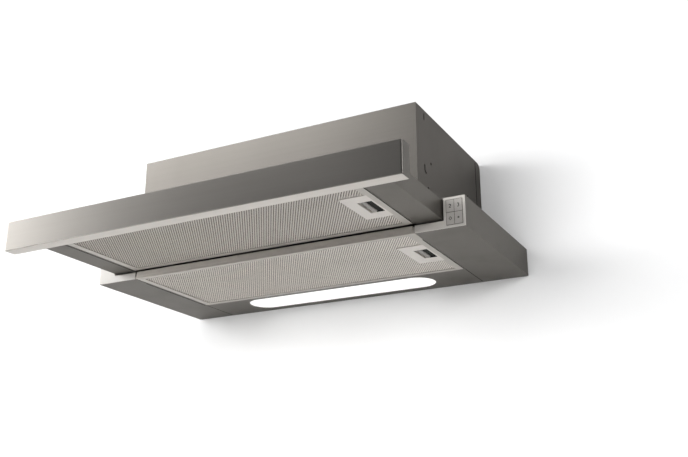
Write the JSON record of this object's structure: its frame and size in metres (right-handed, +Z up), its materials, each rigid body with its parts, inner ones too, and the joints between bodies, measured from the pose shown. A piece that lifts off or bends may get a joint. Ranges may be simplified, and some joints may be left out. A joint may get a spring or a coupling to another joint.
{
  "type": "pull out range hood",
  "caption": "Slim hood with a pull out filter drawer, steel fascia, drop-down grease filters, strip lamp, push-button keypad and a boxed blower with a top duct collar.",
  "frame": {"origin": "on the wall plane, at the bottom of the rear face, in the middle of the width; z is 0 on the tray's underside", "axes": "+X to the right as seen from the room, +Y from the room into the wall, +Z up"},
  "size_m": [0.598, 0.4509, 0.221],
  "materials": {
    "body_steel": "brushed, lacquered",
    "tray_steel": "fine brushed, lacquered",
    "fascia_steel": "brushed lengthwise",
    "filter_aluminium": "plain rolled",
    "mesh_aluminium": "expanded and rolled",
    "cap_plastic": "fine spark texture",
    "button_plastic": "satin",
    "latch_plastic": "fine spark texture",
    "lens_white": "opal, lit from behind",
    "housing_white": "satin",
    "black_plastic": "moulded",
    "board_green": "solder masked",
    "board_white": "solder masked",
    "motor_grey": "satin",
    "capacitor_shell": "satin",
    "zinc_steel": "zinc plated",
    "cage_plastic": "natural",
    "ball_steel": "polished"
  },
  "bodies": {
    "casing": {"body_shell": "body_steel", "rear_panel": "body_steel", "top_frame": "body_steel", "left_channel": "tray_steel", "right_channel": "tray_steel", "lamp_panel": "tray_steel", "front_rail": "filter_aluminium", "left_end_cap": "cap_plastic", "right_end_cap": "cap_plastic", "keypad_board": "board_green", "lamp_housing": "housing_white", "lamp_lens": "lens_white", "led_strip": "board_white", "led_driver": "black_plastic", "control_board": "board_green", "terminal_box": "black_plastic", "cable_gland": "black_plastic", "capacitor": "capacitor_shell", "scroll_left": "black_plastic", "scroll_right": "black_plastic", "motor": "motor_grey", "motor_bracket": "motor_grey", "duct_collar": "black_plastic", "flap_pin": "zinc_steel", "left_runner": "zinc_steel", "right_runner": "zinc_steel", "drawer_sensor": "black_plastic", "casing_screws": "zinc_steel", "blower_screws": "zinc_steel"},
    "rotor": {"impeller_disc": "black_plastic", "impeller_blades": "black_plastic", "impeller_rings": "black_plastic", "motor_shaft": "zinc_steel"},
    "front_flap": {"front_flap": "black_plastic"},
    "rear_flap": {"rear_flap": "black_plastic"},
    "button_speed_2": {"button_speed_2": "button_plastic"},
    "button_speed_3": {"button_speed_3": "button_plastic"},
    "button_power": {"button_power": "button_plastic"},
    "button_light": {"button_light": "button_plastic"},
    "drawer": {"fascia": "fascia_steel", "fascia_back": "tray_steel", "left_beam": "tray_steel", "right_beam": "tray_steel", "drawer_cover": "tray_steel", "drawer_rear_rail": "tray_steel", "left_rail": "zinc_steel", "right_rail": "zinc_steel", "drawer_magnet": "zinc_steel", "drawer_screws": "zinc_steel"},
    "ball_cages": {"left_cage": "cage_plastic", "right_cage": "cage_plastic", "slide_balls": "ball_steel"},
    "lower_filter": {"lower_filter_frame": "filter_aluminium", "lower_filter_mesh": "mesh_aluminium", "lower_latch_plate": "latch_plastic", "lower_latch_spring": "zinc_steel"},
    "lower_latch": {"lower_latch_slider": "latch_plastic"},
    "upper_filter": {"upper_filter_frame": "filter_aluminium", "upper_filter_mesh": "mesh_aluminium", "upper_latch_plate": "latch_plastic", "upper_latch_spring": "zinc_steel"},
    "upper_latch": {"upper_latch_slider": "latch_plastic"}
  },
  "joints": [
    {"name": "drawer_slide", "type": "slide", "parent": "casing", "child": "drawer", "axis": [0, -1, 0], "range_m": [-0.1704, 0]},
    {"name": "cage_slide", "type": "slide", "parent": "casing", "child": "ball_cages", "axis": [0, -1, 0], "range_m": [-0.0853, 0]},
    {"name": "lower_filter_drop", "type": "hinge", "parent": "casing", "child": "lower_filter", "pos_m": [-0.227, -0.1701, 0.0016], "axis": [0, 1, 0], "range_deg": [0, 45]},
    {"name": "upper_filter_drop", "type": "hinge", "parent": "drawer", "child": "upper_filter", "pos_m": [-0.228, -0.347, 0.0141], "axis": [0, 1, 0], "range_deg": [0, 45]},
    {"name": "lower_latch_slide", "type": "slide", "parent": "lower_filter", "child": "lower_latch", "axis": [-1, 0, 0], "range_m": [0, 0.0035], "stiffness_N_per_m": 400, "springref_m": -0.0025, "deforming": ["lower_latch_spring"]},
    {"name": "upper_latch_slide", "type": "slide", "parent": "upper_filter", "child": "upper_latch", "axis": [-1, 0, 0], "range_m": [0, 0.0035], "stiffness_N_per_m": 400, "springref_m": -0.0025, "deforming": ["upper_latch_spring"]},
    {"name": "press_speed_2", "type": "slide", "parent": "casing", "child": "button_speed_2", "axis": [0, 1, 0], "range_m": [0, 0.0012], "stiffness_N_per_m": 900, "springref_m": -0.00067},
    {"name": "press_speed_3", "type": "slide", "parent": "casing", "child": "button_speed_3", "axis": [0, 1, 0], "range_m": [0, 0.0012], "stiffness_N_per_m": 900, "springref_m": -0.00067},
    {"name": "press_power", "type": "slide", "parent": "casing", "child": "button_power", "axis": [0, 1, 0], "range_m": [0, 0.0012], "stiffness_N_per_m": 900, "springref_m": -0.00067},
    {"name": "press_light", "type": "slide", "parent": "casing", "child": "button_light", "axis": [0, 1, 0], "range_m": [0, 0.0012], "stiffness_N_per_m": 900, "springref_m": -0.00067},
    {"name": "impeller_spin", "type": "hinge", "parent": "casing", "child": "rotor", "pos_m": [0, -0.144, 0.112], "axis": [1, 0, 0], "continuous": true},
    {"name": "front_flap_lift", "type": "hinge", "parent": "casing", "child": "front_flap", "pos_m": [0, -0.113, 0.2005], "axis": [-1, 0, 0], "range_deg": [0, 75]},
    {"name": "rear_flap_lift", "type": "hinge", "parent": "casing", "child": "rear_flap", "pos_m": [0, -0.113, 0.2005], "axis": [1, 0, 0], "range_deg": [0, 75]}
  ],
  "couplings": [
    {"joint": "cage_slide", "follows": "drawer_slide", "ratio": 0.5}
  ]
}
